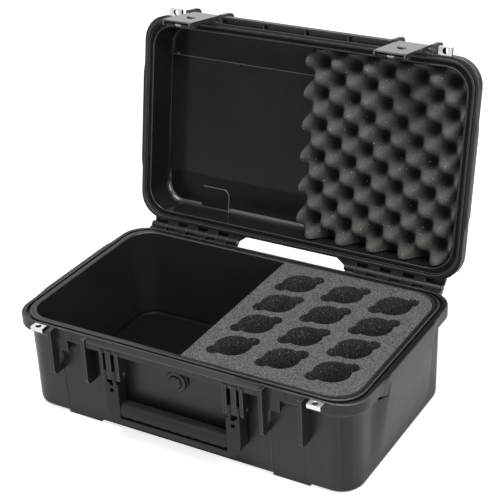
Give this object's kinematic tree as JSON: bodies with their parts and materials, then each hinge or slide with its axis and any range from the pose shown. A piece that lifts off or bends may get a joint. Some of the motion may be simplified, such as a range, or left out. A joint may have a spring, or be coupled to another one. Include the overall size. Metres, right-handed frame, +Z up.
{
  "type": "microphone case",
  "caption": "Hard case on its side hinges, open: round microphone slots in foam beside a bare storage bay, egg-crate foam in the lid, trigger latches, folding handle.",
  "frame": {"origin": "centre of the base's flat underside, which the case stands on", "axes": "+X along the case to the right seen from the latches, +Y back to the hinges, +Z up"},
  "size_m": [0.571, 0.4674, 0.5194],
  "materials": {
    "shell_plastic": "fine moulded texture, black",
    "latch_plastic": "smooth moulded, black with a soft sheen",
    "trigger_plastic": "smooth moulded, black",
    "handle_plastic": "fine moulded texture, black",
    "valve_plastic": "smooth moulded, black",
    "grip_rubber": "soft matt black",
    "gasket_rubber": "soft matt black",
    "plate_steel": "bright stainless",
    "pin_steel": "plain stainless",
    "spring_steel": "drawn spring wire",
    "slot_foam": "closed-cell foam, speckled dark grey",
    "crate_foam": "open-cell foam, charcoal"
  },
  "bodies": {
    "base": {"base_shell": "shell_plastic", "foam_base_pad": "slot_foam", "foam_slot_block": "slot_foam", "pressure_valve_body": "valve_plastic", "pressure_valve_cap": "valve_plastic", "padlock_plate_base_left": "plate_steel", "padlock_plate_base_right": "plate_steel", "handle_pin_left": "pin_steel", "handle_pin_right": "pin_steel", "hinge_pin_left": "pin_steel", "hinge_pin_right": "pin_steel"},
    "lid": {"lid_shell": "shell_plastic", "lid_gasket": "gasket_rubber", "lid_egg_crate_foam": "crate_foam", "padlock_plate_lid_left": "plate_steel", "padlock_plate_lid_right": "plate_steel", "latch_pin_left": "pin_steel", "latch_pin_right": "pin_steel"},
    "handle": {"handle_frame": "handle_plastic", "handle_grip": "grip_rubber"},
    "latch_left": {"latch_lever_left": "latch_plastic", "trigger_pin_left": "pin_steel", "trigger_spring_left": "spring_steel"},
    "trigger_left": {"latch_trigger_left": "trigger_plastic"},
    "latch_right": {"latch_lever_right": "latch_plastic", "trigger_pin_right": "pin_steel", "trigger_spring_right": "spring_steel"},
    "trigger_right": {"latch_trigger_right": "trigger_plastic"}
  },
  "joints": [
    {"name": "lid_hinge", "type": "hinge", "parent": "base", "child": "lid", "pos_m": [0, 0.1772, 0.1584], "axis": [1, 0, 0], "range_deg": [0, 100]},
    {"name": "handle_fold", "type": "hinge", "parent": "base", "child": "handle", "pos_m": [0, -0.166, 0.11], "axis": [-1, 0, 0], "range_deg": [0, 90]},
    {"name": "latch_swing_left", "type": "hinge", "parent": "lid", "child": "latch_left", "pos_m": [-0.1742, 0.24328, 0.50093], "axis": [-1, 0, 0], "range_deg": [-5, 120]},
    {"name": "trigger_pull_left", "type": "hinge", "parent": "latch_left", "child": "trigger_left", "pos_m": [-0.1742, 0.16739, 0.51133], "axis": [1, 0, 0], "range_deg": [0, 5.8], "stiffness_Nm_per_rad": 0.2, "springref_deg": -17.19},
    {"name": "latch_swing_right", "type": "hinge", "parent": "lid", "child": "latch_right", "pos_m": [0.1742, 0.24328, 0.50093], "axis": [-1, 0, 0], "range_deg": [-5, 120]},
    {"name": "trigger_pull_right", "type": "hinge", "parent": "latch_right", "child": "trigger_right", "pos_m": [0.1742, 0.16739, 0.51133], "axis": [1, 0, 0], "range_deg": [0, 5.8], "stiffness_Nm_per_rad": 0.2, "springref_deg": -17.19}
  ]
}
